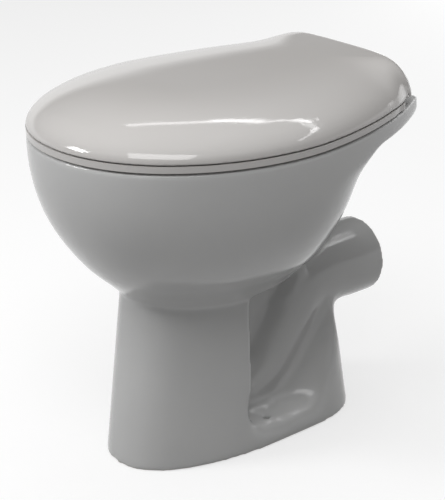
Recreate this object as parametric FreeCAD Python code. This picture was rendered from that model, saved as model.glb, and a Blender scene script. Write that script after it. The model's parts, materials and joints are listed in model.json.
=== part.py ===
import FreeCAD, Part
import math
import os

# A floor-standing washdown toilet: china pan, hinged seat and hinged cover.
# Millimetres. X runs across, +Y to the back, +Z up, floor at Z = 0.
# Depths are measured from the front of the rim and moved to the middle at the end.

# Pan, overall
RIM_HEIGHT = 402.0
RIM_HALF_WIDTH = 179.0
RIM_WIDEST_DEPTH = 218.0
CHINA_WALL = 11.0

# Bowl outside, tapering from the rim to the foot of the bowl
BOWL_FOOT_HEIGHT = 200.0
BOWL_FOOT_FRONT = 110.0
BOWL_FOOT_HALF_WIDTH = 72.5
BOWL_REAR = 416.0
BOWL_FOOT_REAR = 341.0
BOWL_FOOT_SHIFT = 9.0
BOWL_BOTTOM_HEIGHT = 188.0
BOWL_FRONT_TAPER = 2.38
BOWL_SIDE_TAPER = 2.64
BOWL_REAR_TAPER = 1.05
BOWL_FRONT_POWER = 2.05
BOWL_REAR_POWER = 1.91

# Rear ledge, where the rim runs out square behind the seat
LEDGE_REAR = 463.0
LEDGE_APEX = 545.0
LEDGE_POWER = 1.6
LEDGE_THICKNESS = 18.0
LEDGE_FADE_DEPTH = 36.0
LEDGE_FADE_POWER = 6.0
LEDGE_FADE_REACH = 1.5

# Rim ring and the open flush channel under it
RIM_SLAB = 14.0
RIM_RING_WIDTH = 52.0
OPENING_REAR = 340.0
OPENING_WIDEST_DEPTH = 196.0
LIP_WALL = 10.0
LIP_DROP = 40.0

# Inside of the bowl below the rim, down to the trap
FOOT_THICKENING = 0.7
FOOT_THICKENING_POWER = 3.0
THROAT_FRONT = 124.0
THROAT_REAR = 326.0
THROAT_HALF_WIDTH = 58.0
THROAT_POWER = 2.5
THROAT_LAP = 16.0
SUMP_DEPTH = 202.0
SUMP_EXTRA_RADIUS = 4.0
SUMP_RISE = 12.0

# Trap and outlet
TRAP_WALL = 7.0
TRAP_FLOOR_HEIGHT = 60.0
TRAP_TURN_DEPTH = 282.0
TRAP_RISE_DEPTH = 353.0
TRAP_TURN_RADIUS = 55.0
OUTLET_RADIUS = 49.0
OUTLET_HEIGHT = 166.0
OUTLET_END = 467.0
SPIGOT_STEP = 1.0
SPIGOT_CLEARANCE = 2.0

# Pedestal
FOOT_FRONT = 75.0
FOOT_REAR = 408.0
FOOT_HALF_WIDTH = 90.0
FOOT_WIDEST_DEPTH = 278.0
FOOT_REAR_POWER = 3.3
NECK_HEIGHT = 205.0
NECK_FRONT = 99.5
NECK_REAR = 391.0
NECK_HALF_WIDTH = 78.0
NECK_WIDEST_DEPTH = 250.0
NECK_REAR_POWER = 2.1
PEDESTAL_POWER = 2.3
PEDESTAL_TOP = 250.0

# Side pockets that lay the trap bare
POCKET_FRONT = 217.0
POCKET_FLOOR = 28.0
POCKET_INNER = 40.0
POCKET_BEND = 290.0
POCKET_SLANT = 0.86
POCKET_FLARE = 1.2
POCKET_FLARE_RADIUS = 40.0
POCKET_CORNER_RADIUS = 16.0

# Flush inlet under the ledge
CHAMBER_FRONT = 340.0
CHAMBER_WIDEST_DEPTH = 390.0
CHAMBER_REAR = 442.0
CHAMBER_HALF_WIDTH = 50.0
CHAMBER_FOOT_REAR = 424.0
CHAMBER_FOOT_HALF_WIDTH = 32.0
CHAMBER_FOOT_HEIGHT = 284.0
CHAMBER_POWER = 2.5
INLET_HEIGHT = 316.0
INLET_RADIUS = 27.0
INLET_BORE_RADIUS = 19.0
INLET_RISER_DEPTH = 400.0
INLET_END = 465.0

# Floor fixing holes through the pocket floors
FLOOR_HOLE_RADIUS = 4.0
FLOOR_HOLE_SPACING = 136.0
FLOOR_HOLE_DEPTH = 252.0

# Hinge: posts stand ahead of the axis so that the cover can swing right over
HINGE_DEPTH = 427.0
HINGE_HEIGHT = 38.0
HINGE_INSET = 101.5
BARREL_RADIUS = 6.0
POST_WIDTH = 12.0
POST_OFFSET = 23.0
POST_STEM = 10.0
POST_ARM = 9.0
POST_BASE_RADIUS = 12.0
POST_BASE_HEIGHT = 3.0
GASKET_THICKNESS = 2.0
PIN_RADIUS = 2.5
PIN_OVERHANG = 1.0
BUSH_WALL = 1.0
RUN_CLEARANCE = 0.05
SIDE_CLEARANCE = 0.5
SWING_CLEARANCE = 2.0
BARREL_CLEARANCE = 1.0
SEAT_LUG_WIDTH = 14.0
COVER_LUG_WIDTH = 8.0

# Seat
SEAT_GAP = 1.5
SEAT_FLANGE = 7.0
SEAT_FLANGE_WIDTH = 16.0
SEAT_CROWN = 12.0
SEAT_CROWN_WIDTH = 7.0
SEAT_OPENING_FRONT = 62.0
SEAT_OPENING_REAR = 322.0
SEAT_OPENING_HALF_WIDTH = 116.0
SEAT_UNDERCUT = 4.0
SEAT_WALL = 5.0
SEAT_REACH = 40.0
SEAT_WING_SETBACK = 12.0

# Cover
COVER_GAP = 1.0
COVER_HEIGHT = 41.0
COVER_WALL = 4.0
COVER_REACH = 10.0
COVER_CORNER_RADIUS = 12.0
COVER_REAR_BOW = 3.0
COVER_SHOULDER_DEPTH = 370.0
COVER_REAR_STEEPNESS = 0.45
COVER_REAR_LEAN = 0.02
COVER_CROWN_WIDTH = 140.0
COVER_CROWN_POWER = 2.2
COVER_EDGE_POWER = 0.55
COVER_FLAT_SHARE = 0.93
COVER_STEP_POWER = 2.2

# Seat fixings
BOLT_RADIUS = 4.0
BOLT_HOLE_RADIUS = 7.0
BOLT_ENGAGEMENT = 11.0
BOLT_TAIL = 12.0
BOLT_CLEARANCE = 0.5
CONE_RADIUS = 14.0
CONE_HEIGHT = 10.0
CONE_NECK = 8.0
WASHER_RADIUS = 12.0
WASHER_THICKNESS = 2.0
NUT_RADIUS = 9.0
NUT_HEIGHT = 12.0
WING_SPAN = 38.0
WING_THICKNESS = 4.0
RECESS_CLEARANCE = 3.0

# Buffers under the seat and under the cover
SEAT_BUFFER_RADIUS = 8.0
SEAT_BUFFER_FRONT = 52.0
SEAT_BUFFER_FRONT_INSET = 109.0
SEAT_BUFFER_REAR = 300.0
SEAT_BUFFER_REAR_INSET = 53.0
COVER_BUFFER_RADIUS = 6.0
COVER_BUFFER_FRONT = 46.0
COVER_BUFFER_FRONT_INSET = 119.0
COVER_BUFFER_REAR = 280.0
COVER_BUFFER_REAR_INSET = 41.0

# Steps that outlines and lofts are drawn in, and how far cuts run past a face
OUTLINE_STEPS = 40
QUARTER_STEPS = 10
CORNER_STEPS = 4
LEDGE_STEPS = 6
BOWL_STEPS = 6
FOOT_STEPS = 4
THROAT_STEPS = 3
COVER_STEPS = 8
ELLIPSE_POWER = 2.0
CUT_MARGIN = 1.0

# Worked out from the sizes above
BORE_RADIUS = OUTLET_RADIUS - SPIGOT_STEP - TRAP_WALL
HOLE_OFFSET = RIM_HALF_WIDTH - HINGE_INSET
BOLT_DEPTH = HINGE_DEPTH - POST_OFFSET
SEAT_BUFFER_FRONT_OFFSET = RIM_HALF_WIDTH - SEAT_BUFFER_FRONT_INSET
SEAT_BUFFER_REAR_OFFSET = RIM_HALF_WIDTH - SEAT_BUFFER_REAR_INSET
COVER_BUFFER_FRONT_OFFSET = RIM_HALF_WIDTH - COVER_BUFFER_FRONT_INSET
COVER_BUFFER_REAR_OFFSET = RIM_HALF_WIDTH - COVER_BUFFER_REAR_INSET
AXIS_HEIGHT = RIM_HEIGHT + HINGE_HEIGHT
LEDGE_UNDERSIDE = RIM_HEIGHT - LEDGE_THICKNESS
SEAT_BOTTOM = RIM_HEIGHT + SEAT_GAP
SEAT_FLANGE_TOP = SEAT_BOTTOM + SEAT_FLANGE
SEAT_TOP = SEAT_BOTTOM + SEAT_CROWN
COVER_BOTTOM = SEAT_FLANGE_TOP + COVER_GAP
COVER_REAR = HINGE_DEPTH + COVER_REACH
BUSH_RADIUS = PIN_RADIUS + BUSH_WALL
POST_BOTTOM = RIM_HEIGHT + GASKET_THICKNESS
POST_INNER = HOLE_OFFSET - POST_WIDTH / 2
POST_OUTER = HOLE_OFFSET + POST_WIDTH / 2
SEAT_LUG_OUTER = POST_INNER - SIDE_CLEARANCE
SEAT_LUG_INNER = SEAT_LUG_OUTER - SEAT_LUG_WIDTH
COVER_LUG_INNER = POST_OUTER + SIDE_CLEARANCE
COVER_LUG_OUTER = COVER_LUG_INNER + COVER_LUG_WIDTH
CONE_BOTTOM = LEDGE_UNDERSIDE - CONE_HEIGHT
WASHER_BOTTOM = CONE_BOTTOM - WASHER_THICKNESS
NUT_BOTTOM = WASHER_BOTTOM - NUT_HEIGHT


# Shared helpers
def vector(x, y, z):
    return FreeCAD.Vector(x, y, z)


def power(value, exponent):
    return math.copysign(abs(value) ** exponent, value)


def between(start, end, share):
    return start + (end - start) * share


def chord_parameters(points):
    """Running distance round a closed row of points."""
    total = 0.0
    parameters = [total]
    for here, there in zip(points, points[1:] + points[:1]):
        total += here.distanceToPoint(there)
        parameters.append(total)
    return parameters


def closed_curve(points, parameters):
    curve = Part.BSplineCurve()
    curve.interpolate(Points=points, PeriodicFlag=True, Parameters=parameters)
    return Part.Wire([curve.toShape()])


def loft(outlines):
    parameters = chord_parameters(outlines[0])
    return Part.makeLoft([closed_curve(points, parameters) for points in outlines], True, False)


def column(points, height):
    face = Part.Face(closed_curve(points, chord_parameters(points)))
    return face.extrude(vector(0, 0, height))


def egg(front, rear, half_width, widest, height, front_power, rear_power):
    """Points of an egg-shaped outline at one height, seen from above."""
    points = []
    for step in range(OUTLINE_STEPS):
        angle = 2 * math.pi * step / OUTLINE_STEPS
        along = math.cos(angle)
        bend = front_power if along > 0 else rear_power
        reach = widest - front if along > 0 else rear - widest
        x = half_width * power(math.sin(angle), 2 / bend)
        y = widest - reach * power(along, 2 / bend)
        points.append(vector(x, y, height))
    return points


def box(x0, x1, y0, y1, z0, z1):
    return Part.makeBox(x1 - x0, y1 - y0, z1 - z0, vector(x0, y0, z0))


def upright(radius, z0, z1, x, y):
    return Part.makeCylinder(radius, z1 - z0, vector(x, y, z0), vector(0, 0, 1))


def level_cylinder(radius, y0, y1, height):
    return Part.makeCylinder(radius, y1 - y0, vector(0, y0, height), vector(0, 1, 0))


def crosswise(radius, x0, x1):
    """Cylinder on the hinge axis."""
    return Part.makeCylinder(radius, x1 - x0, vector(x0, HINGE_DEPTH, AXIS_HEIGHT), vector(1, 0, 0))


def prism(points, direction):
    return Part.Face(Part.makePolygon(points + points[:1])).extrude(direction)


def mirrored(shape):
    return shape.mirror(vector(0, 0, 0), vector(1, 0, 0))


# Pan
def bowl_outline(height, inset, with_ledge):
    """Outline of the bowl at one height, with or without the rear ledge."""
    fall = (RIM_HEIGHT - height) / (RIM_HEIGHT - BOWL_FOOT_HEIGHT)
    front = BOWL_FOOT_FRONT * fall ** BOWL_FRONT_TAPER
    half_width = between(RIM_HALF_WIDTH, BOWL_FOOT_HALF_WIDTH, fall ** BOWL_SIDE_TAPER)
    rear = between(BOWL_REAR, BOWL_FOOT_REAR, fall ** BOWL_REAR_TAPER)
    widest = RIM_WIDEST_DEPTH + BOWL_FOOT_SHIFT * fall
    rear_power = BOWL_REAR_POWER
    if with_ledge:
        share = 1 / (1 + ((RIM_HEIGHT - height) / LEDGE_FADE_DEPTH) ** LEDGE_FADE_POWER)
        rear = between(rear, LEDGE_APEX, share)
        rear_power = between(rear_power, LEDGE_POWER, share)
    return egg(front + inset, rear - inset, half_width - inset, widest, height, BOWL_FRONT_POWER, rear_power)


def bowl_body():
    below = RIM_HEIGHT - LEDGE_FADE_REACH * LEDGE_FADE_DEPTH
    heights = [between(RIM_HEIGHT, below, step / LEDGE_STEPS) for step in range(LEDGE_STEPS)]
    heights += [between(below, BOWL_BOTTOM_HEIGHT, step / BOWL_STEPS) for step in range(BOWL_STEPS + 1)]
    body = loft([bowl_outline(height, 0, True) for height in heights])
    behind = box(-RIM_HALF_WIDTH, RIM_HALF_WIDTH, LEDGE_REAR, LEDGE_APEX + CUT_MARGIN,
                 0, RIM_HEIGHT + CUT_MARGIN)
    return body.cut(behind)


def foot_outline(height, inset):
    share = height / NECK_HEIGHT
    return egg(between(FOOT_FRONT, NECK_FRONT, share) + inset, between(FOOT_REAR, NECK_REAR, share) - inset,
               between(FOOT_HALF_WIDTH, NECK_HALF_WIDTH, share) - inset,
               between(FOOT_WIDEST_DEPTH, NECK_WIDEST_DEPTH, share), height,
               PEDESTAL_POWER, between(FOOT_REAR_POWER, NECK_REAR_POWER, share))


def pocket(wall):
    """Space beside the trap on the +X side, grown by a wall."""
    outside = 2 * FOOT_HALF_WIDTH
    inner = POCKET_INNER - wall
    front = POCKET_FRONT - wall
    floor = POCKET_FLOOR - wall
    wires = []
    for height in (floor, floor + PEDESTAL_TOP):
        bend = POCKET_BEND + POCKET_SLANT * (height - floor)
        end = bend + (outside - inner) / POCKET_FLARE
        corners = [vector(inner, front, height), vector(outside, front, height),
                   vector(outside, end, height), vector(inner, bend, height)]
        wires.append(Part.makePolygon(corners + corners[:1]))
    space = Part.makeLoft(wires, True, True)
    inside = [edge for edge in space.Edges if edge.BoundBox.XMin < inner + CUT_MARGIN]
    bends = [edge for edge in inside if edge.BoundBox.ZLength > PEDESTAL_TOP / 2
             and edge.BoundBox.YLength > CUT_MARGIN]
    space = space.makeFillet(POCKET_FLARE_RADIUS, bends)
    inside = [edge for edge in space.Edges if edge.BoundBox.XMin < inner + CUT_MARGIN]
    floor_edges = [edge for edge in inside if edge.BoundBox.ZMax < floor + CUT_MARGIN]
    front_edges = [edge for edge in inside if edge.BoundBox.ZLength > PEDESTAL_TOP / 2
                   and edge.BoundBox.YMax < front + CUT_MARGIN]
    return space.makeFillet(POCKET_CORNER_RADIUS, floor_edges + front_edges)


def pedestal_body(wall):
    """Pedestal with its pockets, or its hollow for a given wall."""
    heights = [PEDESTAL_TOP * step / FOOT_STEPS for step in range(FOOT_STEPS + 1)]
    body = loft([foot_outline(height, wall) for height in heights])
    right = pocket(wall)
    above = box(-FOOT_HALF_WIDTH, FOOT_HALF_WIDTH, BOWL_FOOT_REAR - wall, FOOT_REAR, OUTLET_HEIGHT - wall,
                PEDESTAL_TOP + CUT_MARGIN)
    return body.cut([right, mirrored(right), above])


def trap(radius, start):
    """Pipe along the trap: level, up the rise, then level to the outlet."""
    rise = math.atan2(OUTLET_HEIGHT - TRAP_FLOOR_HEIGHT, TRAP_RISE_DEPTH - TRAP_TURN_DEPTH)
    setback = TRAP_TURN_RADIUS * math.tan(rise / 2)
    sag = TRAP_TURN_RADIUS / math.cos(rise / 2) - TRAP_TURN_RADIUS
    low = vector(0, TRAP_TURN_DEPTH, TRAP_FLOOR_HEIGHT)
    high = vector(0, TRAP_RISE_DEPTH, OUTLET_HEIGHT)
    level = vector(0, 1, 0)
    slope = vector(0, math.cos(rise), math.sin(rise))
    bisector = vector(0, -math.sin(rise / 2), math.cos(rise / 2))
    mouth = vector(0, start, TRAP_FLOOR_HEIGHT)
    outlet = vector(0, OUTLET_END, OUTLET_HEIGHT)
    path = Part.Wire([Part.LineSegment(mouth, low - level * setback).toShape(),
                      Part.Arc(low - level * setback, low + bisector * sag, low + slope * setback).toShape(),
                      Part.LineSegment(low + slope * setback, high - slope * setback).toShape(),
                      Part.Arc(high - slope * setback, high - bisector * sag, high + level * setback).toShape(),
                      Part.LineSegment(high + level * setback, outlet).toShape()])
    ring = Part.Circle(mouth, level, radius)
    return path.makePipeShell([Part.Wire([ring.toShape()])], True, False)


def bowl_inside(grow):
    """Space inside bowl, sump and trap, grown by a wall."""
    top = RIM_HEIGHT - RIM_SLAB
    bowl = []
    for step in range(BOWL_STEPS + 1):
        height = between(top, BOWL_FOOT_HEIGHT, step / BOWL_STEPS)
        fall = (RIM_HEIGHT - height) / (RIM_HEIGHT - BOWL_FOOT_HEIGHT)
        inset = CHINA_WALL * (1 + FOOT_THICKENING * power(fall, FOOT_THICKENING_POWER)) - grow
        bowl.append(bowl_outline(height, inset, False))
    throat = []
    throat_top = BOWL_FOOT_HEIGHT + THROAT_LAP
    sump_top = TRAP_FLOOR_HEIGHT + SUMP_RISE
    for step in range(THROAT_STEPS + 1):
        share = step / THROAT_STEPS
        front = between(THROAT_FRONT, SUMP_DEPTH - BORE_RADIUS, share)
        rear = between(SUMP_DEPTH + BORE_RADIUS, THROAT_REAR, (1 - share) ** THROAT_POWER)
        half_width = between(THROAT_HALF_WIDTH, BORE_RADIUS, share)
        height = between(throat_top, sump_top, share)
        throat.append(egg(front - grow, rear + grow, half_width + grow, SUMP_DEPTH, height,
                          ELLIPSE_POWER, ELLIPSE_POWER))
    sump = Part.makeSphere(BORE_RADIUS + SUMP_EXTRA_RADIUS + grow, vector(0, SUMP_DEPTH, TRAP_FLOOR_HEIGHT))
    return loft(bowl), loft(throat), sump, trap(BORE_RADIUS + grow, SUMP_DEPTH)


def rim_opening(margin, z0, z1):
    outline = egg(RIM_RING_WIDTH - margin, OPENING_REAR + margin, RIM_HALF_WIDTH - RIM_RING_WIDTH + margin,
                  OPENING_WIDEST_DEPTH, z0, ELLIPSE_POWER, ELLIPSE_POWER)
    return column(outline, z1 - z0)


def inlet_chamber():
    top = egg(CHAMBER_FRONT, CHAMBER_REAR, CHAMBER_HALF_WIDTH, CHAMBER_WIDEST_DEPTH, LEDGE_UNDERSIDE,
              ELLIPSE_POWER, CHAMBER_POWER)
    foot = egg(CHAMBER_FRONT, CHAMBER_FOOT_REAR, CHAMBER_FOOT_HALF_WIDTH, CHAMBER_WIDEST_DEPTH,
               CHAMBER_FOOT_HEIGHT, ELLIPSE_POWER, CHAMBER_POWER)
    neck = level_cylinder(INLET_RADIUS - SPIGOT_STEP, CHAMBER_WIDEST_DEPTH, INLET_END, INLET_HEIGHT)
    horn = level_cylinder(INLET_RADIUS, CHAMBER_REAR + SPIGOT_CLEARANCE, INLET_END, INLET_HEIGHT)
    return [loft([top, foot]), neck, horn]


def inlet_bore():
    """Flush way in: level through the horn, then up into the channel under the rim."""
    level = level_cylinder(INLET_BORE_RADIUS, INLET_RISER_DEPTH, INLET_END + CUT_MARGIN, INLET_HEIGHT)
    elbow = Part.makeSphere(INLET_BORE_RADIUS, vector(0, INLET_RISER_DEPTH, INLET_HEIGHT))
    riser = upright(INLET_BORE_RADIUS, INLET_HEIGHT, RIM_HEIGHT - RIM_SLAB, 0, INLET_RISER_DEPTH)
    return [level.fuse([elbow, riser])]


def pan_holes():
    holes = inlet_bore()
    recess_radius = WING_SPAN / 2 + RECESS_CLEARANCE
    for side in (-1, 1):
        bolt_x = side * HOLE_OFFSET
        floor_x = side * FLOOR_HOLE_SPACING / 2
        holes.append(upright(BOLT_HOLE_RADIUS, LEDGE_UNDERSIDE - CUT_MARGIN, RIM_HEIGHT + CUT_MARGIN,
                             bolt_x, BOLT_DEPTH))
        holes.append(upright(recess_radius, BOWL_FOOT_HEIGHT, LEDGE_UNDERSIDE, bolt_x, BOLT_DEPTH))
        holes.append(upright(FLOOR_HOLE_RADIUS, -CUT_MARGIN, POCKET_FLOOR + CUT_MARGIN,
                             floor_x, FLOOR_HOLE_DEPTH))
    return holes


def pan():
    pedestal = pedestal_body(0).cut(pedestal_body(CHINA_WALL))
    walls = list(bowl_inside(TRAP_WALL))
    spigot = level_cylinder(OUTLET_RADIUS, FOOT_REAR + SPIGOT_CLEARANCE, OUTLET_END, OUTLET_HEIGHT)
    solid = bowl_body().fuse([pedestal, spigot] + walls + inlet_chamber())
    solid = solid.cut(list(bowl_inside(0)))
    lip_bottom = RIM_HEIGHT - LIP_DROP
    lip = rim_opening(LIP_WALL, lip_bottom, RIM_HEIGHT - RIM_SLAB / 2)
    opening = rim_opening(0, lip_bottom - CUT_MARGIN, RIM_HEIGHT + CUT_MARGIN)
    return solid.fuse(lip).cut([opening] + pan_holes())


# Seat and cover
def seat_half_width(depth, shrink, rear):
    """Half width of the outline behind its widest point."""
    reach = (depth - RIM_WIDEST_DEPTH) / (LEDGE_APEX - RIM_WIDEST_DEPTH)
    edge = RIM_HALF_WIDTH * (1 - reach ** LEDGE_POWER) ** (1 / LEDGE_POWER)
    share = min(max((depth - COVER_SHOULDER_DEPTH) / (rear - COVER_SHOULDER_DEPTH), 0), 1)
    ease = 1 - COVER_REAR_STEEPNESS * share * share * (3 - 2 * share)
    return edge * (1 - shrink * ease)


def seat_outline(inset, height, rear):
    """Outline shared by seat and cover, drawn in towards the middle by an inset."""
    shrink = inset / RIM_HALF_WIDTH
    corner = COVER_CORNER_RADIUS
    right = []
    for step in range(QUARTER_STEPS):
        angle = math.pi / 2 * step / QUARTER_STEPS
        x = RIM_HALF_WIDTH * (1 - shrink) * power(math.sin(angle), 2 / BOWL_FRONT_POWER)
        y = between(RIM_WIDEST_DEPTH, inset, power(math.cos(angle), 2 / BOWL_FRONT_POWER))
        right.append(vector(x, y, height))
    side_end = rear - corner
    for step in range(QUARTER_STEPS + 1):
        y = between(RIM_WIDEST_DEPTH, side_end, step / QUARTER_STEPS)
        right.append(vector(seat_half_width(y, shrink, rear), y, height))
    centre = seat_half_width(side_end, shrink, rear) - corner
    for step in range(1, CORNER_STEPS + 1):
        angle = math.pi / 2 * step / CORNER_STEPS
        right.append(vector(centre + corner * math.cos(angle), side_end + corner * math.sin(angle), height))
    # The rear edge bows out as a parabola, so halfway along it keeps three quarters of the bow.
    right.append(vector(centre / 2, rear + COVER_REAR_BOW * (1 - 1 / 4), height))
    left = [vector(-point.x, point.y, point.z) for point in reversed(right[1:])]
    return right + [vector(0, rear + COVER_REAR_BOW, height)] + left


def cover_rise(inset):
    share = 1 - inset / COVER_CROWN_WIDTH
    return COVER_HEIGHT * (1 - share ** COVER_CROWN_POWER) ** COVER_EDGE_POWER


def cover_dome(wall):
    """Solid dome of the cover, or of the hollow inside it for a given wall."""
    outlines = []
    for step in range(COVER_STEPS + 1):
        inset = COVER_CROWN_WIDTH * COVER_FLAT_SHARE * (step / COVER_STEPS) ** COVER_STEP_POWER
        rear = COVER_REAR - COVER_REAR_BOW - wall - COVER_REAR_LEAN * inset
        outlines.append(seat_outline(inset + wall, COVER_BOTTOM + cover_rise(inset) - wall, rear))
    return loft(outlines)


def cover_slot():
    """Gap in the back wall of the cover that lets it swing past a post and a lug."""
    inner = SEAT_LUG_INNER - SWING_CLEARANCE
    outer = HOLE_OFFSET + POST_BASE_RADIUS + SWING_CLEARANCE
    top = AXIS_HEIGHT + BARREL_RADIUS + SWING_CLEARANCE
    return box(inner, outer, HINGE_DEPTH, COVER_REAR + CUT_MARGIN, RIM_HEIGHT, top)


def seat_cover():
    dome = cover_dome(0)
    slot = cover_slot()
    relief = crosswise(BARREL_RADIUS + BARREL_CLEARANCE, SEAT_LUG_INNER - SWING_CLEARANCE, COVER_LUG_INNER)
    shell = dome.cut([cover_dome(COVER_WALL), slot, mirrored(slot), relief, mirrored(relief)])
    rib = box(COVER_LUG_INNER, COVER_LUG_OUTER, HINGE_DEPTH - BARREL_RADIUS, HINGE_DEPTH + BARREL_RADIUS,
              AXIS_HEIGHT, AXIS_HEIGHT + COVER_HEIGHT).common(dome)
    lug = rib.fuse(crosswise(BARREL_RADIUS, COVER_LUG_INNER, COVER_LUG_OUTER))
    bore = crosswise(BUSH_RADIUS, COVER_LUG_INNER - CUT_MARGIN, COVER_LUG_OUTER + CUT_MARGIN)
    return shell.fuse([lug, mirrored(lug)]).cut([bore, mirrored(bore)])


def seat_opening(margin, z0, z1):
    outline = egg(SEAT_OPENING_FRONT - margin, SEAT_OPENING_REAR + margin, SEAT_OPENING_HALF_WIDTH + margin,
                  OPENING_WIDEST_DEPTH, z0, ELLIPSE_POWER, ELLIPSE_POWER)
    return column(outline, z1 - z0)


def hinge_notch(margin):
    """Space behind the seat that the posts stand in and the cover swings through."""
    half_width = HOLE_OFFSET + POST_BASE_RADIUS + SWING_CLEARANCE + margin
    return box(-half_width, half_width, HINGE_DEPTH - SEAT_REACH - margin, LEDGE_REAR, RIM_HEIGHT, AXIS_HEIGHT)


def seat_arm():
    """Lug that carries the seat on its hinge pin, +X side."""
    root = HINGE_DEPTH - SEAT_REACH
    slant = BARREL_RADIUS * math.sin(math.pi / 4)
    points = [vector(SEAT_LUG_INNER, root, SEAT_BOTTOM),
              vector(SEAT_LUG_INNER, root - SEAT_FLANGE_WIDTH, SEAT_TOP),
              vector(SEAT_LUG_INNER, HINGE_DEPTH - slant, AXIS_HEIGHT + slant),
              vector(SEAT_LUG_INNER, HINGE_DEPTH + slant, AXIS_HEIGHT - slant)]
    arm = prism(points, vector(SEAT_LUG_WIDTH, 0, 0))
    return arm.fuse(crosswise(BARREL_RADIUS, SEAT_LUG_INNER, SEAT_LUG_OUTER))


def seat_ring():
    rear = HINGE_DEPTH - SEAT_WING_SETBACK - COVER_REAR_BOW
    flange = loft([seat_outline(0, SEAT_BOTTOM, rear), seat_outline(0, SEAT_FLANGE_TOP, rear)])
    crown_rear = rear - SEAT_FLANGE_WIDTH
    crown = loft([seat_outline(SEAT_FLANGE_WIDTH, SEAT_FLANGE_TOP - CUT_MARGIN, crown_rear),
                  seat_outline(SEAT_FLANGE_WIDTH + SEAT_CROWN_WIDTH, SEAT_TOP, crown_rear)])
    hollow = loft([seat_outline(SEAT_WALL, SEAT_BOTTOM - CUT_MARGIN, rear - SEAT_WALL),
                   seat_outline(SEAT_WALL, SEAT_BOTTOM + SEAT_UNDERCUT, rear - SEAT_WALL)])
    hollow = hollow.cut([seat_opening(SEAT_WALL, RIM_HEIGHT, AXIS_HEIGHT), hinge_notch(SEAT_WALL)])
    ring = flange.fuse(crown).cut([seat_opening(0, RIM_HEIGHT, AXIS_HEIGHT), hollow, hinge_notch(0)])
    arm = seat_arm()
    bore = crosswise(BUSH_RADIUS, SEAT_LUG_INNER - CUT_MARGIN, SEAT_LUG_OUTER + CUT_MARGIN)
    return ring.fuse([arm, mirrored(arm)]).cut([bore, mirrored(bore)])


# Buffers, hinge and fixings, each made on the +X side
def seat_buffer(offset, depth):
    return upright(SEAT_BUFFER_RADIUS, RIM_HEIGHT, SEAT_BOTTOM + SEAT_UNDERCUT, offset, depth)


def cover_buffer(offset, depth):
    stud = upright(COVER_BUFFER_RADIUS, SEAT_TOP, COVER_BOTTOM + COVER_HEIGHT, offset, depth)
    return stud.common(cover_dome(COVER_WALL))


def hinge_post():
    stem_front = BOLT_DEPTH - POST_STEM / 2
    stem_rear = BOLT_DEPTH + POST_STEM / 2
    arm_bottom = AXIS_HEIGHT - POST_ARM / 2
    arm_top = AXIS_HEIGHT + POST_ARM / 2
    base = upright(POST_BASE_RADIUS, POST_BOTTOM, POST_BOTTOM + POST_BASE_HEIGHT, HOLE_OFFSET, BOLT_DEPTH)
    stem = box(POST_INNER, POST_OUTER, stem_front, stem_rear, POST_BOTTOM, arm_top)
    arm = box(POST_INNER, POST_OUTER, stem_front, HINGE_DEPTH, arm_bottom, arm_top)
    body = base.fuse([stem, arm, crosswise(BARREL_RADIUS, POST_INNER, POST_OUTER)])
    socket = upright(BOLT_RADIUS, POST_BOTTOM - CUT_MARGIN, POST_BOTTOM + BOLT_ENGAGEMENT,
                     HOLE_OFFSET, BOLT_DEPTH)
    return body.cut([socket, crosswise(PIN_RADIUS, POST_INNER - CUT_MARGIN, POST_OUTER + CUT_MARGIN)])


def hinge_pin():
    return crosswise(PIN_RADIUS, SEAT_LUG_INNER - PIN_OVERHANG, COVER_LUG_OUTER + PIN_OVERHANG)


def hinge_bush(inner, outer):
    bore = crosswise(PIN_RADIUS + RUN_CLEARANCE, inner - CUT_MARGIN, outer + CUT_MARGIN)
    return crosswise(BUSH_RADIUS, inner, outer).cut(bore)


def ring_on_bolt(radius, hole_radius, z0, z1):
    hole = upright(hole_radius, z0 - CUT_MARGIN, z1 + CUT_MARGIN, HOLE_OFFSET, BOLT_DEPTH)
    return upright(radius, z0, z1, HOLE_OFFSET, BOLT_DEPTH).cut(hole)


def post_gasket():
    return ring_on_bolt(POST_BASE_RADIUS, BOLT_RADIUS + BOLT_CLEARANCE, RIM_HEIGHT, POST_BOTTOM)


def cone_washer():
    bore = BOLT_RADIUS + BOLT_CLEARANCE
    neck = ring_on_bolt(BOLT_HOLE_RADIUS - BOLT_CLEARANCE, bore, CONE_BOTTOM, LEDGE_UNDERSIDE + CONE_NECK)
    return ring_on_bolt(CONE_RADIUS, bore, CONE_BOTTOM, LEDGE_UNDERSIDE).fuse(neck)


def plain_washer():
    return ring_on_bolt(WASHER_RADIUS, BOLT_RADIUS + BOLT_CLEARANCE, WASHER_BOTTOM, CONE_BOTTOM)


def wing_nut():
    wings = box(HOLE_OFFSET - WING_SPAN / 2, HOLE_OFFSET + WING_SPAN / 2, BOLT_DEPTH - WING_THICKNESS / 2,
                BOLT_DEPTH + WING_THICKNESS / 2, NUT_BOTTOM, WASHER_BOTTOM)
    body = upright(NUT_RADIUS, NUT_BOTTOM, WASHER_BOTTOM, HOLE_OFFSET, BOLT_DEPTH).fuse(wings)
    return body.cut(upright(BOLT_RADIUS, NUT_BOTTOM - CUT_MARGIN, WASHER_BOTTOM + CUT_MARGIN,
                            HOLE_OFFSET, BOLT_DEPTH))


def hinge_bolt():
    return upright(BOLT_RADIUS, NUT_BOTTOM - BOLT_TAIL, POST_BOTTOM + BOLT_ENGAGEMENT, HOLE_OFFSET, BOLT_DEPTH)


# Export, with the origin on the floor under the middle of the part
def export(name, shape):
    placed = shape.copy()
    placed.translate(vector(0, -OUTLET_END / 2, 0))
    placed.exportStep("parts/" + name + ".step")
    print(name, placed.isValid(), round(placed.Volume), len(placed.Solids))


def export_pair(name, shape):
    export(name + "_right", shape)
    export(name + "_left", mirrored(shape))


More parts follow.
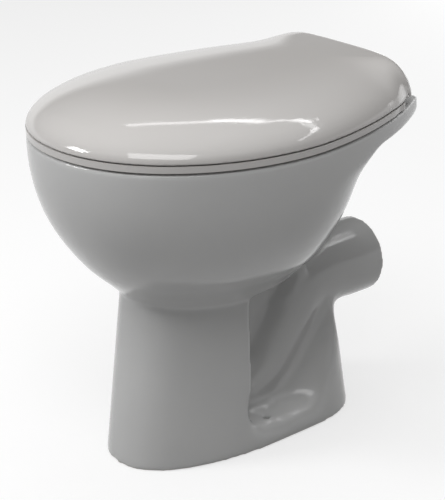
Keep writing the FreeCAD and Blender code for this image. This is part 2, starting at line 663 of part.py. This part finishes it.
os.makedirs("parts", exist_ok=True)
export("pan", pan())
export("seat_ring", seat_ring())
export("seat_cover", seat_cover())
export_pair("seat_buffer_front", seat_buffer(SEAT_BUFFER_FRONT_OFFSET, SEAT_BUFFER_FRONT))
export_pair("seat_buffer_rear", seat_buffer(SEAT_BUFFER_REAR_OFFSET, SEAT_BUFFER_REAR))
for side, sign in (("right", 1), ("left", -1)):
    export("cover_buffer_front_" + side, cover_buffer(sign * COVER_BUFFER_FRONT_OFFSET, COVER_BUFFER_FRONT))
    export("cover_buffer_rear_" + side, cover_buffer(sign * COVER_BUFFER_REAR_OFFSET, COVER_BUFFER_REAR))
export_pair("hinge_post", hinge_post())
export_pair("hinge_pin", hinge_pin())
export_pair("seat_bush", hinge_bush(SEAT_LUG_INNER, SEAT_LUG_OUTER))
export_pair("cover_bush", hinge_bush(COVER_LUG_INNER, COVER_LUG_OUTER))
export_pair("post_gasket", post_gasket())
export_pair("hinge_bolt", hinge_bolt())
export_pair("cone_washer", cone_washer())
export_pair("plain_washer", plain_washer())
export_pair("wing_nut", wing_nut())
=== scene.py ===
# %% [markdown]
# # A floor-standing toilet pan, dressed in Blender
# The solids come from CAD and already have the right size and place.
# This lesson gives them what a drawing office leaves out: the soft edges of cast china,
# the gloss of glaze and moulded plastic, and the studio that the picture was taken in.

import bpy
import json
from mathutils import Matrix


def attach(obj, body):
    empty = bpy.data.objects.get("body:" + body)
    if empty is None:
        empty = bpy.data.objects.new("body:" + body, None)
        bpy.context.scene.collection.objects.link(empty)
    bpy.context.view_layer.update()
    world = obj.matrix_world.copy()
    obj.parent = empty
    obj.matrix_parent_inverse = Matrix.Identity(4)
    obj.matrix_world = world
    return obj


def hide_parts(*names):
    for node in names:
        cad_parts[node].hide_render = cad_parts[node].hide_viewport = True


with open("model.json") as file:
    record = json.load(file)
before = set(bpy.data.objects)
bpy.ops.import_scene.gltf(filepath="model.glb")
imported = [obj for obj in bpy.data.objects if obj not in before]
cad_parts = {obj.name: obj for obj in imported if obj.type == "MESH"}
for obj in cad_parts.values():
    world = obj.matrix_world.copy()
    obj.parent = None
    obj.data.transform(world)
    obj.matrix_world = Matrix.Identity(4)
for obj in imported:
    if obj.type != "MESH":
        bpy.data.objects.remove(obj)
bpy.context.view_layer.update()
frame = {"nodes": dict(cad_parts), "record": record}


# %% Tools for the rest of the lesson
import json
import math

import bmesh
import bpy
from mathutils import Quaternion, Vector

scene = bpy.context.scene
scene.view_settings.view_transform = "Standard"
nodes = frame["nodes"]
print("colours are shown as", scene.view_settings.view_transform)

# %% [markdown]
# ## The camera
# The picture was taken from above the front right corner with a long lens.
# A camera could be dragged into place by hand, but one that is worked out from an azimuth,
# an elevation and a distance is easier to check and to change.
# The helper that turns the two angles into a direction hangs the lamps later on.

# %% Place the camera
CAMERA_AZIMUTH = 50.0
CAMERA_ELEVATION = 22.75
CAMERA_DISTANCE = 1.8018
CAMERA_TARGET = Vector((0.0, 0.0052, 0.2305))
CAMERA_LENS = 108.17
SENSOR_WIDTH = 36.0


def outward(azimuth, elevation):
    """Unit vector out to a camera or lamp, so many degrees round the object and above it."""
    around = math.radians(azimuth)
    above = math.radians(elevation)
    level = math.cos(above)
    return Vector((math.sin(around) * level, -math.cos(around) * level, math.sin(above)))


back = outward(CAMERA_AZIMUTH, CAMERA_ELEVATION)
lens = bpy.data.cameras.new("studio_camera")
lens.lens = CAMERA_LENS
lens.sensor_width = SENSOR_WIDTH
camera = bpy.data.objects.new("studio_camera", lens)
camera.location = CAMERA_TARGET + back * CAMERA_DISTANCE
camera.rotation_euler = (-back).to_track_quat("-Z", "Y").to_euler()
scene.collection.objects.link(camera)
scene.camera = camera
print("camera at", [round(v, 3) for v in camera.location])

# %% [markdown]
# ## The pan's cast china
# A china pan is poured as liquid clay in a plaster mould, and the glaze then flows over every edge,
# so nothing on it is sharp. The CAD solid has crisp creases where the bowl meets the pedestal
# and where the pockets are cut. A bevel would have to find each of those creases.
# Rebuilding a copy of the solid from small voxels and softening its points rounds them all
# by a few millimetres, as glaze does, and leaves the large forms alone.

# %% A copy of a solid that can be reshaped
WELD = 1e-6


def copy_of_solid(node, name):
    mesh = nodes[node].data.copy()
    mesh.name = name
    shell = bmesh.new()
    shell.from_mesh(mesh)
    bmesh.ops.remove_doubles(shell, verts=shell.verts, dist=WELD)
    shell.to_mesh(mesh)
    shell.free()
    piece = bpy.data.objects.new(name, mesh)
    scene.collection.objects.link(piece)
    return piece


def bake(piece):
    """Keep what the piece's modifiers make as its own mesh."""
    seen = piece.evaluated_get(bpy.context.evaluated_depsgraph_get())
    mesh = bpy.data.meshes.new_from_object(seen)
    piece.modifiers.clear()
    piece.data = mesh
    return len(mesh.polygons)


def rebuild_from_voxels(piece, size):
    maker = piece.modifiers.new("voxels", "REMESH")
    maker.mode = "VOXEL"
    maker.voxel_size = size
    maker.use_smooth_shade = True
    return bake(piece)


# %% Zones that fade out at their edges
def fade(value, start, end):
    """Ease from 0 at the start to 1 at the end."""
    share = min(max((value - start) / (end - start), 0.0), 1.0)
    return share * share * (3.0 - 2.0 * share)


def soft_box(low, high, margin):
    """Share of a point inside a box on either side of the middle, fading out over the margin."""
    def share(p):
        total = 1.0
        for value, start, end in zip((abs(p.x), p.y, p.z), low, high):
            if value < start - margin or value > end + margin:
                return 0.0
            total *= fade(value, start - margin, start) * (1.0 - fade(value, end, end + margin))
        return total
    return share


def everywhere(p):
    return 1.0


# %% Soften a shape, more in some places than in others
SOFT_STEP = 0.5


def soften(piece, rounds, share_of):
    """Smooth a piece by a share for each point, and count the points that take part."""
    touched = piece.vertex_groups.new(name="softness")
    counted = 0
    for v in piece.data.vertices:
        share = share_of(v.co)
        if share > 0.0:
            touched.add([v.index], share, "REPLACE")
            counted += 1
    softener = piece.modifiers.new("softener", "SMOOTH")
    softener.factor = SOFT_STEP
    softener.iterations = rounds
    softener.vertex_group = touched.name
    bake(piece)
    piece.vertex_groups.clear()
    return counted


# %% Rebuild the pan as one even skin
SKIN_VOXEL = 0.0022

pan = copy_of_solid("pan", "glazed_pan")
print("pan skin:", rebuild_from_voxels(pan, SKIN_VOXEL), "faces")

# %% [markdown]
# ## The space behind the trap pipe
# On the real pan the side pocket runs deep above the trap pipe, so the pipe stands out and a dark
# wedge is left in front of it. Cutting that wedge with another solid would leave sharp edges to round.
# Sliding the wall's points towards the middle gives the same depth, and because the slide
# fades out towards the pipe, the bowl and the pocket's edges, no new crease appears.

# %% Deepen the pockets
PIPE_LOW = Vector((0.0, 0.0485, 0.06))
PIPE_UP = Vector((0.0, -0.831, 0.556))
ABOVE_PIPE = (0.0265, 0.046)
DEEPEN = 0.45
deep_zone = soft_box((-0.1, 0.006, 0.09), (0.058, 0.1, 0.185), 0.03)


def reshape(piece, move):
    """Let a function move the points of a piece, and count those that went anywhere."""
    clay = bmesh.new()
    clay.from_mesh(piece.data)
    moved = sum(1 for v in clay.verts if move(v.co))
    clay.to_mesh(piece.data)
    clay.free()
    return moved


def deepen(p):
    share = deep_zone(p)
    if share > 0.0:
        share *= fade((p - PIPE_LOW).dot(PIPE_UP), *ABOVE_PIPE)
        p.x *= 1.0 - DEEPEN * share
    return share > 0.0


print("pocket points moved:", reshape(pan, deepen))

# %% [markdown]
# ## The step under the seat ledge
# The ledge that carries the seat is a slab with a clear lower edge, and the bowl starts a little
# inside it. The CAD solid flares from one to the other. Lifting the flare's points towards the slab
# turns the flare into a step. The lift fades out at the slab, lower down on the bowl
# and around the flush inlet, which stays round.

# %% Lift the flare to the slab
BESIDE_INLET = (0.045, 0.07)
BEHIND_BOWL = (0.08, 0.125)
FLARE_FOOT = (0.295, 0.35)
FLARE_TOP = (0.365, 0.384)
FLARE_LIFT = 0.011


def step_under_ledge(p):
    share = fade(abs(p.x), *BESIDE_INLET) * fade(p.y, *BEHIND_BOWL)
    share *= fade(p.z, *FLARE_FOOT) * (1.0 - fade(p.z, *FLARE_TOP))
    p.z += FLARE_LIFT * share
    return share > 0.0


print("ledge points moved:", reshape(pan, step_under_ledge))

# %% [markdown]
# ## Round the china's edges
# Glaze gathers in hollows and thins on edges, so a hollow has a wide round and an edge a small one.
# One strength for all would either leave the hollows sharp or melt the edges, so the softening is
# done place by place: a little everywhere, more in the pockets and round the outlet's root, and none
# at the seat ledge, the outlet's end and the floor hole, which are trimmed while the clay is soft.

# %% Where the china stays crisp
LEDGE = soft_box((-0.1, 0.1, 0.372), (0.2, 0.25, 0.45), 0.008)
OUTLET_END = soft_box((-0.1, 0.219, 0.0), (0.1, 0.25, 0.25), 0.006)
FLOOR_HOLE = Vector((0.068, 0.0185))
HOLE_EDGE = (0.006, 0.01)
FOOT_TOP = 0.04
BACK_STARTS = 0.09


def plain_china(p):
    """Share of softening that a point may have: none on edges that stay crisp."""
    if p.z < FOOT_TOP:
        return fade((Vector((abs(p.x), p.y)) - FLOOR_HOLE).length, *HOLE_EDGE)
    if p.y < BACK_STARTS:
        return 1.0
    return (1.0 - LEDGE(p)) * (1.0 - OUTLET_END(p))


# %% Places that are softened more
pocket_walls = soft_box((0.028, 0.004, 0.022), (0.12, 0.19, 0.15), 0.012)
pocket_lips = soft_box((0.05, 0.02, 0.018), (0.12, 0.13, 0.05), 0.012)
pocket_foot = soft_box((0.05, -0.028, 0.022), (0.12, 0.03, 0.066), 0.016)
under_outlet = soft_box((-0.1, 0.155, 0.095), (0.07, 0.186, 0.126), 0.01)
over_outlet = soft_box((-0.1, 0.14, 0.18), (0.05, 0.185, 0.225), 0.024)


def on_plain_china(zone):
    return lambda p: zone(p) * plain_china(p)


# %% Soften the china place by place
CHINA_PLACES = (
    ("all edges", 16, plain_china),
    ("pocket walls", 90, on_plain_china(pocket_walls)),
    ("pocket lips", 200, on_plain_china(pocket_lips)),
    ("pocket foot", 220, on_plain_china(pocket_foot)),
    ("under the outlet", 300, under_outlet),
    ("over the outlet", 180, over_outlet),
    ("a last touch", 5, everywhere),
)
for where, rounds, share_of in CHINA_PLACES:
    print("softened", where + ":", soften(pan, rounds, share_of), "points")

# %% Thin the skin to a handy number of faces
MOST_TRIANGLES = 190000


def thin_out(piece, most):
    piece.data.calc_loop_triangles()
    thinner = piece.modifiers.new("thinner", "DECIMATE")
    thinner.ratio = min(1.0, most / len(piece.data.loop_triangles))
    bake(piece)
    piece.data.calc_loop_triangles()
    return len(piece.data.loop_triangles)


print("pan thinned to", thin_out(pan, MOST_TRIANGLES), "triangles")
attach(pan, "pan")
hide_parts("pan")

# %% [markdown]
# ## The cover
# A moulded cover swells from its edge to its crown in one sweep, and a lamp's reflection runs over it
# without a kink. The CAD shape has a flat crown with a shoulder round it, which shows as a faint line
# in the gloss. The same two steps as for the pan remove it: rebuild from voxels, then soften
# the crown alone, so that the rim, the hinge lugs and the inside keep their shape.

# %% Rebuild the cover with a softer crown
COVER_VOXEL = 0.0016
CROWN_ROUNDS = 500
EDGE_ROUNDS = 3
COVER_TRIANGLES = 150000
crown = soft_box((-0.1, -0.19, 0.44), (0.13, 0.14, 0.46), 0.016)

cover = copy_of_solid("seat_cover", "moulded_cover")
print("cover skin:", rebuild_from_voxels(cover, COVER_VOXEL), "faces")
print("crown:", soften(cover, CROWN_ROUNDS, crown), "points")
print("edges:", soften(cover, EDGE_ROUNDS, everywhere), "points")
print("cover thinned to", thin_out(cover, COVER_TRIANGLES), "triangles")
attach(cover, "cover")
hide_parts("seat_cover")

# %% [markdown]
# ## The finishes
# Each finish is a small node tree. A pattern could be painted on an image, but then it would need
# a flat map of every piece. Noise that reads Object coordinates needs none, keeps its real size
# on every piece, and stays put when a part swings. A few helpers make the nodes that all share.

# %% A finish to build on
def new_finish(name, color, roughness):
    finish = bpy.data.materials.new(name)
    finish.use_nodes = True
    tree = finish.node_tree
    shader = tree.nodes["Principled BSDF"]
    shader.inputs["Base Color"].default_value = (*color, 1.0)
    shader.inputs["Roughness"].default_value = roughness
    place = tree.nodes.new("ShaderNodeTexCoord")
    return finish, tree, shader, place.outputs["Object"]


def grey(level):
    return (level, level, level)


# %% Patterns
def noise(tree, place, scale, detail):
    texture = tree.nodes.new("ShaderNodeTexNoise")
    texture.inputs["Scale"].default_value = scale
    texture.inputs["Detail"].default_value = detail
    tree.links.new(place, texture.inputs["Vector"])
    return texture.outputs["Fac"]


def stretched(tree, place, scale):
    """Coordinates squeezed along some axes, so that a pattern runs in streaks."""
    mapping = tree.nodes.new("ShaderNodeMapping")
    mapping.inputs["Scale"].default_value = scale
    tree.links.new(place, mapping.inputs["Vector"])
    return mapping.outputs["Vector"]


# %% Patterns turned into colour, gloss or relief
RAMP_START = 0.35
RAMP_END = 0.65


def ramp(tree, fac, low, high):
    shades = tree.nodes.new("ShaderNodeValToRGB")
    shades.color_ramp.elements[0].position = RAMP_START
    shades.color_ramp.elements[0].color = (*low, 1.0)
    shades.color_ramp.elements[1].position = RAMP_END
    shades.color_ramp.elements[1].color = (*high, 1.0)
    tree.links.new(fac, shades.inputs["Fac"])
    return shades.outputs["Color"]


def bumps(tree, fac, shader, strength, distance):
    """Add a layer of small bumps on top of any that the shader already has."""
    bump = tree.nodes.new("ShaderNodeBump")
    bump.inputs["Strength"].default_value = strength
    bump.inputs["Distance"].default_value = distance
    tree.links.new(fac, bump.inputs["Height"])
    for link in list(shader.inputs["Normal"].links):
        tree.links.new(link.from_socket, bump.inputs["Normal"])
    tree.links.new(bump.outputs["Normal"], shader.inputs["Normal"])


# %% [markdown]
# ## Glazed china
# Under the glaze is a cream clay body, and the white glaze over it is never quite even: it pools in
# faint clouds, dries with a slow ripple and a finer peel like an orange's skin, and its gloss drifts.
# The foot's underside and the outlet's end are wiped clean before firing, so that the pan
# won't stick to the kiln shelf. One noise for each of these, at its own size, reads better
# than one strong noise for all.

# %% Glaze colour, gloss and ripple
GLAZE = (0.6, 0.6, 0.596)
THIN_GLAZE = (0.585, 0.586, 0.583)
POOLED_GLAZE = (0.612, 0.611, 0.606)
GLAZE_SHINE = 0.35
GLAZE_SMOOTH = 0.08
GLAZE_DULL = 0.16

china, tree, shader, place = new_finish("glazed_china", GLAZE, GLAZE_DULL)
shader.inputs["Specular IOR Level"].default_value = GLAZE_SHINE
cloud = ramp(tree, noise(tree, place, scale=7.0, detail=3.0), THIN_GLAZE, POOLED_GLAZE)
drift = noise(tree, place, scale=16.0, detail=4.0)
gloss = ramp(tree, drift, grey(GLAZE_SMOOTH), grey(GLAZE_DULL))
ripple = noise(tree, place, scale=38.0, detail=1.0)
peel = noise(tree, place, scale=420.0, detail=2.0)
bumps(tree, ripple, shader, strength=0.05, distance=0.002)
bumps(tree, peel, shader, strength=0.03, distance=0.0004)
print("glaze ripples and peel laid on", china.name)


# %% Masks for the bare clay
def edge_mask(tree, value, start, end):
    ease = tree.nodes.new("ShaderNodeMapRange")
    ease.inputs["From Min"].default_value = start
    ease.inputs["From Max"].default_value = end
    tree.links.new(value, ease.inputs["Value"])
    return ease.outputs["Result"]


def mixed(tree, mask, first, second):
    """Colour that goes from a socket's colour to a fixed one where the mask is 1."""
    mix = tree.nodes.new("ShaderNodeMix")
    mix.data_type = "RGBA"
    mix.inputs["B"].default_value = (*second, 1.0)
    tree.links.new(mask, mix.inputs["Factor"])
    tree.links.new(first, mix.inputs["A"])
    return mix.outputs["Result"]


# %% Values joined with a sum
def combined(tree, operation, first, second):
    """Socket for one step of arithmetic on two values, each a socket or a number."""
    step = tree.nodes.new("ShaderNodeMath")
    step.operation = operation
    for value, socket in zip((first, second), step.inputs):
        if isinstance(value, float):
            socket.default_value = value
        else:
            tree.links.new(value, socket)
    return step.outputs["Value"]


# %% Bare clay at the foot and the outlet's end
BARE_FOOT = 0.0025
BARE_OUTLET = 0.2315
BARE_FADE = 0.001
CLAY = (0.6, 0.57, 0.52)
CLAY_DULL = 0.75

axes = tree.nodes.new("ShaderNodeSeparateXYZ")
tree.links.new(place, axes.inputs["Vector"])
bare_foot = edge_mask(tree, axes.outputs["Z"], BARE_FOOT, BARE_FOOT - BARE_FADE)
bare_outlet = edge_mask(tree, axes.outputs["Y"], BARE_OUTLET, BARE_OUTLET + BARE_FADE)
bare = combined(tree, "MAXIMUM", bare_foot, bare_outlet)
tree.links.new(mixed(tree, bare, cloud, CLAY), shader.inputs["Base Color"])
tree.links.new(mixed(tree, bare, gloss, grey(CLAY_DULL)), shader.inputs["Roughness"])
print("china has", len(tree.nodes), "nodes")

# %% [markdown]
# ## Seat plastic
# The seat and cover are pressed in polished steel moulds, so they shine more than the china
# and are a touch warmer. Wiping them leaves hairlines that only show where a lamp is mirrored.
# They go into the roughness, as noise stretched along the seat, and not into the colour.

# %% Moulded seat plastic
PLASTIC = (0.62, 0.6, 0.585)
PLASTIC_DARK = (0.61, 0.59, 0.572)
PLASTIC_LIGHT = (0.63, 0.612, 0.597)
PLASTIC_SHINE = 0.6
PLASTIC_DULL = 0.07
HAIRLINE_SMOOTH = 0.055
HAIRLINE_DULL = 0.1
ALONG_SEAT = (1.0, 0.06, 1.0)

plastic, tree, shader, place = new_finish("moulded_seat_plastic", PLASTIC, PLASTIC_DULL)
shader.inputs["Specular IOR Level"].default_value = PLASTIC_SHINE
tint = ramp(tree, noise(tree, place, scale=5.0, detail=2.0), PLASTIC_DARK, PLASTIC_LIGHT)
tree.links.new(tint, shader.inputs["Base Color"])
hairlines = noise(tree, stretched(tree, place, ALONG_SEAT), scale=650.0, detail=3.0)
wiped = ramp(tree, hairlines, grey(HAIRLINE_SMOOTH), grey(HAIRLINE_DULL))
tree.links.new(wiped, shader.inputs["Roughness"])
sink = noise(tree, place, scale=30.0, detail=0.0)
skin = noise(tree, place, scale=500.0, detail=1.0)
bumps(tree, sink, shader, strength=0.03, distance=0.0015)
bumps(tree, skin, shader, strength=0.02, distance=0.0003)
print("plastic has", len(tree.nodes), "nodes")

# %% [markdown]
# ## Hinge plastic, nylon, rubber and steel
# The small parts are seen when the seat is up. Posts are moulded with a spark-etched satin grain,
# bushes and wing nuts are bare nylon, pads and gaskets are dull rubber with a bloom,
# and the bolts are zinc plated, which looks faintly clouded.
# All four share one recipe: clouds in the colour, and a fine grain in the gloss and the relief.

# %% One recipe for the small parts
GRAINS_PER_CLOUD = 9.0
GLOSS_SWING = 0.2
GRAIN_DEPTH = 0.0003


def grained(name, dark, light, dull, scale, relief, metal=0.0):
    finish, tree, shader, place = new_finish(name, light, dull)
    shader.inputs["Metallic"].default_value = metal
    grain = noise(tree, place, scale, detail=4.0)
    cloud = noise(tree, place, scale / GRAINS_PER_CLOUD, detail=2.0)
    smooth, rough = grey(dull * (1.0 - GLOSS_SWING)), grey(dull * (1.0 + GLOSS_SWING))
    tree.links.new(ramp(tree, cloud, dark, light), shader.inputs["Base Color"])
    tree.links.new(ramp(tree, grain, smooth, rough), shader.inputs["Roughness"])
    bumps(tree, grain, shader, relief, GRAIN_DEPTH)
    return finish


# %% Mix the four finishes
hinge_plastic = grained("satin_hinge_plastic", dark=(0.55, 0.54, 0.53), light=(0.6, 0.59, 0.58),
                        dull=0.3, scale=900.0, relief=0.1)
nylon = grained("natural_nylon", dark=(0.62, 0.6, 0.54), light=(0.69, 0.67, 0.61),
                dull=0.45, scale=700.0, relief=0.15)
rubber = grained("grey_rubber", dark=(0.26, 0.26, 0.25), light=(0.34, 0.34, 0.33),
                 dull=0.65, scale=800.0, relief=0.25)
steel = grained("zinc_steel", dark=(0.5, 0.5, 0.51), light=(0.62, 0.62, 0.63),
                dull=0.3, scale=500.0, relief=0.12, metal=1.0)
print("finishes mixed:", len(bpy.data.materials))

# %% [markdown]
# ## Dress every solid
# The record names a material slot for each solid, so one table from slot to finish dresses them all.
# The two rebuilt pieces get the finish of the solid that they stand for.

# %% Give every solid its finish
finishes = {"china": china, "seat_plastic": plastic, "hinge_plastic": hinge_plastic,
            "nylon": nylon, "rubber": rubber, "steel": steel}


def dress(piece, finish):
    piece.data.materials.clear()
    piece.data.materials.append(finish)


for row in frame["record"]["subparts"]:
    dress(nodes[row["node"]], finishes[row["material_slot"]])
dress(pan, china)
dress(cover, plastic)
print("finishes given to", len(nodes), "solids and 2 rebuilt pieces")

# %% [markdown]
# ## The studio floor
# The pan stands on a plain white sweep, where only its own soft shadow shows.
# A floor with enough light on it to look white would throw too much of it up under the bowl.
# So the floor is a mid grey for the light that bounces off it, and a glow is added only for rays that
# reach the camera or show the floor in gloss or through glass. The shadow still shows under the glow.

# %% White only where it is looked at
def looked_at(tree):
    """One for rays that show the surround, straight, in gloss or through glass, and else nought."""
    path = tree.nodes.new("ShaderNodeLightPath").outputs
    mirrored = combined(tree, "MAXIMUM", path["Is Glossy Ray"], path["Is Transmission Ray"])
    return combined(tree, "MAXIMUM", path["Is Camera Ray"], mirrored)


# %% Lay the floor
FLOOR_HALF = 8.0

floor_mesh = bpy.data.meshes.new("studio_floor")
sheet = bmesh.new()
bmesh.ops.create_grid(sheet, x_segments=1, y_segments=1, size=FLOOR_HALF)
sheet.to_mesh(floor_mesh)
sheet.free()
floor = bpy.data.objects.new("studio_floor", floor_mesh)
scene.collection.objects.link(floor)
print("floor is", 2.0 * FLOOR_HALF, "metres wide")

# %% Paint the floor
FLOOR_SHADE = 0.45
FLOOR_DULL = 0.9
FLOOR_LIFT = 0.6
WHITE = (1.0, 1.0, 1.0, 1.0)

floor_finish = bpy.data.materials.new("pale_floor")
floor_finish.use_nodes = True
tree = floor_finish.node_tree
shader = tree.nodes["Principled BSDF"]
shader.inputs["Base Color"].default_value = (*grey(FLOOR_SHADE), 1.0)
shader.inputs["Roughness"].default_value = FLOOR_DULL
shader.inputs["Specular IOR Level"].default_value = 0.0
shader.inputs["Emission Color"].default_value = WHITE
lift = combined(tree, "MULTIPLY", looked_at(tree), FLOOR_LIFT)
tree.links.new(lift, shader.inputs["Emission Strength"])
floor_mesh.materials.append(floor_finish)
print("floor lifted by", FLOOR_LIFT, "where it is looked at")

# %% [markdown]
# ## The surround
# In the picture the light comes mostly from above and the sides of the china stay dim, as under
# a white sheet hung over a dark room. An image of a studio could light the scene, but a world with one
# gradient does it with three numbers: dim at the horizon, then brighter from a start up to the zenith.
# Near the horizon a white wall is added for the same rays as on the floor,
# so a view from low down doesn't end in a dark strip.

# %% A dome that brightens towards the top
HORIZON = 0.04
ZENITH = 0.84
DOME_START = 0.4

world = bpy.data.worlds.new("studio")
scene.world = world
world.use_nodes = True
tree = world.node_tree
surround = tree.nodes["Background"]
surround.inputs["Color"].default_value = WHITE
toward = tree.nodes.new("ShaderNodeTexCoord")
parts = tree.nodes.new("ShaderNodeSeparateXYZ")
tree.links.new(toward.outputs["Generated"], parts.inputs["Vector"])
rise = tree.nodes.new("ShaderNodeMapRange")
rise.interpolation_type = "SMOOTHSTEP"
rise.inputs["From Min"].default_value = DOME_START
rise.inputs["To Min"].default_value = HORIZON
rise.inputs["To Max"].default_value = ZENITH
tree.links.new(parts.outputs["Z"], rise.inputs["Value"])
print("dome from", HORIZON, "to", ZENITH)

# %% A white wall near the horizon
WALL_WHITE = 0.87
WALL_TOP = 0.16
WALL_FADE = 0.1

wall = tree.nodes.new("ShaderNodeMapRange")
wall.inputs["From Min"].default_value = WALL_TOP
wall.inputs["From Max"].default_value = WALL_TOP + WALL_FADE
wall.inputs["To Min"].default_value = WALL_WHITE
wall.inputs["To Max"].default_value = 0.0
tree.links.new(parts.outputs["Z"], wall.inputs["Value"])
white = combined(tree, "MULTIPLY", looked_at(tree), wall.outputs["Result"])
strength = combined(tree, "MAXIMUM", rise.outputs["Result"], white)
tree.links.new(strength, surround.inputs["Strength"])
print("world has", len(tree.nodes), "nodes")

# %% [markdown]
# ## The lamps
# A glossy cover is drawn by what it mirrors: here a broad window across its front half, a small bright
# patch near the rim and a thin line of light along its back edge. Each of these is a lamp.
# One long lamp can't follow the back edge, which curves, so a row of four narrow strips does,
# each turned a little. A wide dim lamp low at the back keeps the outlet's side readable.

# %% Hang a soft lamp
LAMP_AIM = Vector((0.0, -0.05, 0.35))
LINE_OF_SIGHT = (0.0, 0.0, 1.0)


def soft_lamp(name, azimuth, elevation, distance, width, height, power, tilt=0.0):
    """A rectangle of light that faces the object, tilted by some degrees about its own axis."""
    out = outward(azimuth, elevation)
    lamp = bpy.data.lights.new(name, "AREA")
    lamp.shape = "RECTANGLE"
    lamp.size = width
    lamp.size_y = height
    lamp.energy = power
    holder = bpy.data.objects.new(name, lamp)
    holder.location = LAMP_AIM + out * distance
    turn = (-out).to_track_quat("-Z", "Y") @ Quaternion(LINE_OF_SIGHT, math.radians(tilt))
    holder.rotation_euler = turn.to_euler()
    scene.collection.objects.link(holder)


# %% Window, front patch and rear fill
soft_lamp("window_lamp", azimuth=38, elevation=56, distance=2.2,
          width=1.3, height=0.85, power=15.0)
soft_lamp("front_lamp", azimuth=-30, elevation=34, distance=2.2,
          width=0.6, height=0.45, power=16.5)
soft_lamp("rear_fill", azimuth=-165, elevation=4, distance=2.4,
          width=2.0, height=1.0, power=6.0)
print("lamps hung:", len(bpy.data.lights))

# %% Strips of light along the back edge
BACK_STRIPS = ((-131, 51.5, 11.0), (-155, 48.7, 9.0), (-179, 46.8, 4.5), (-203, 46.1, 1.0))

for number, (azimuth, elevation, tilt) in enumerate(BACK_STRIPS):
    soft_lamp("back_strip_%d" % number, azimuth, elevation, distance=2.4,
              width=1.04, height=0.1, power=1.2, tilt=tilt)
print("lamps and strips hung:", len(bpy.data.lights))
